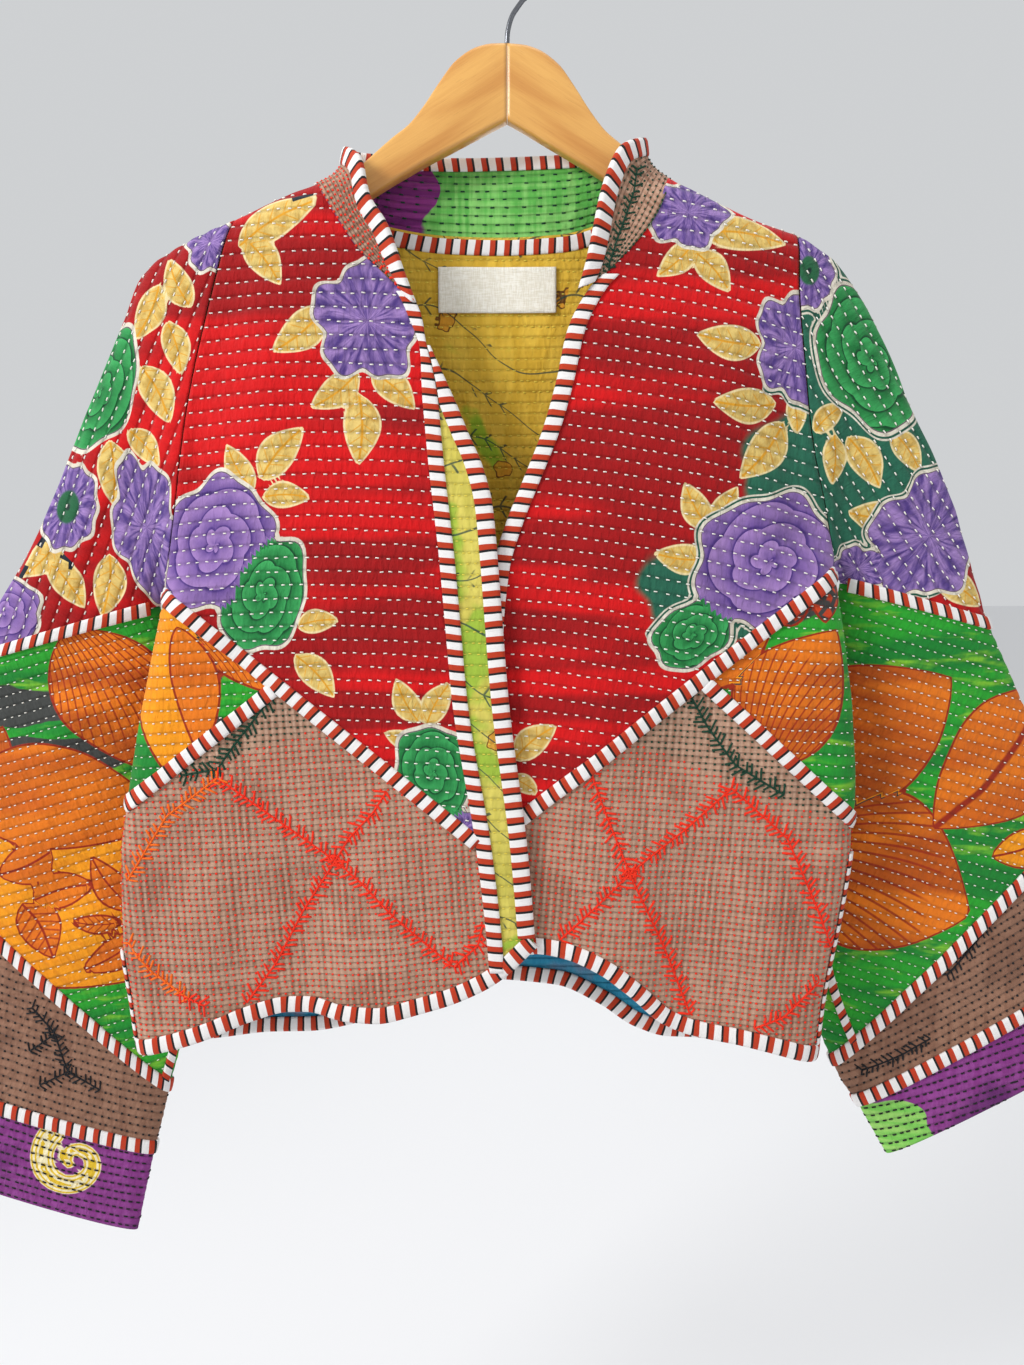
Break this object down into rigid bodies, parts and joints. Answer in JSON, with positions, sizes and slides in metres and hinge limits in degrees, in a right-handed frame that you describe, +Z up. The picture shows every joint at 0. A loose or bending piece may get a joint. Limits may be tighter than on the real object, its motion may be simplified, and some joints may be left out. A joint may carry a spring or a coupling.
{
  "type": "patchwork kantha jacket on a wooden hanger",
  "caption": "Cropped, open-fronted jacket of patchwork kantha cloth with wide sleeves, striped bindings and a stand collar, hung on a contoured wooden hanger with a wire hook.",
  "frame": {"origin": "inner top of the hook's bend, where it rests on its rail or peg", "axes": "+X to the viewer's right, the jacket's front faces -Y, +Z up"},
  "size_m": [0.9805, 0.0826, 0.9064],
  "materials": {
    "red_kantha": "matt quilted cotton, red with large flowers",
    "orange_kantha": "matt quilted cotton, orange, green and amber leaf print",
    "brown_kantha": "matt quilted cotton, brown with red stitches",
    "purple_kantha": "matt quilted cotton, purple",
    "yellow_kantha": "matt quilted cotton, mustard vine print",
    "striped_binding": "matt cotton binding, slanted white, rust and black stripes",
    "label_cotton": "matt off-white cotton",
    "varnished_wood": "satin varnish",
    "hook_steel": "satin"
  },
  "bodies": {
    "root": {"back_hem_patch": "brown_kantha", "back_panel": "red_kantha", "binding_back_seam": "striped_binding", "binding_band_seam": "striped_binding", "binding_collar": "striped_binding", "binding_edge_left": "striped_binding", "binding_edge_right": "striped_binding", "binding_hem_back": "striped_binding", "binding_hem_left": "striped_binding", "binding_hem_right": "striped_binding", "binding_neck_seam": "striped_binding", "binding_point_left": "striped_binding", "binding_point_right": "striped_binding", "binding_sleeve_left_lower": "striped_binding", "binding_sleeve_left_middle": "striped_binding", "binding_sleeve_left_upper": "striped_binding", "binding_sleeve_right_lower": "striped_binding", "binding_sleeve_right_middle": "striped_binding", "binding_sleeve_right_upper": "striped_binding", "binding_slit_back_left": "striped_binding", "binding_slit_back_right": "striped_binding", "binding_slit_front_left": "striped_binding", "binding_slit_front_right": "striped_binding", "binding_underarm_left": "striped_binding", "binding_underarm_right": "striped_binding", "binding_yoke_left": "striped_binding", "binding_yoke_right": "striped_binding", "collar": "brown_kantha", "front_band_left": "yellow_kantha", "front_left_patch": "brown_kantha", "front_left_red": "red_kantha", "front_left_triangle": "orange_kantha", "front_right_patch": "brown_kantha", "front_right_red": "red_kantha", "front_right_triangle": "orange_kantha", "hanger_arm_left": "varnished_wood", "hanger_arm_right": "varnished_wood", "hanger_hook": "hook_steel", "neck_label": "label_cotton", "sleeve_left_cuff": "purple_kantha", "sleeve_left_lower": "brown_kantha", "sleeve_left_middle": "orange_kantha", "sleeve_left_upper": "red_kantha", "sleeve_right_cuff": "purple_kantha", "sleeve_right_lower": "brown_kantha", "sleeve_right_middle": "orange_kantha", "sleeve_right_upper": "red_kantha"}
  },
  "joints": []
}
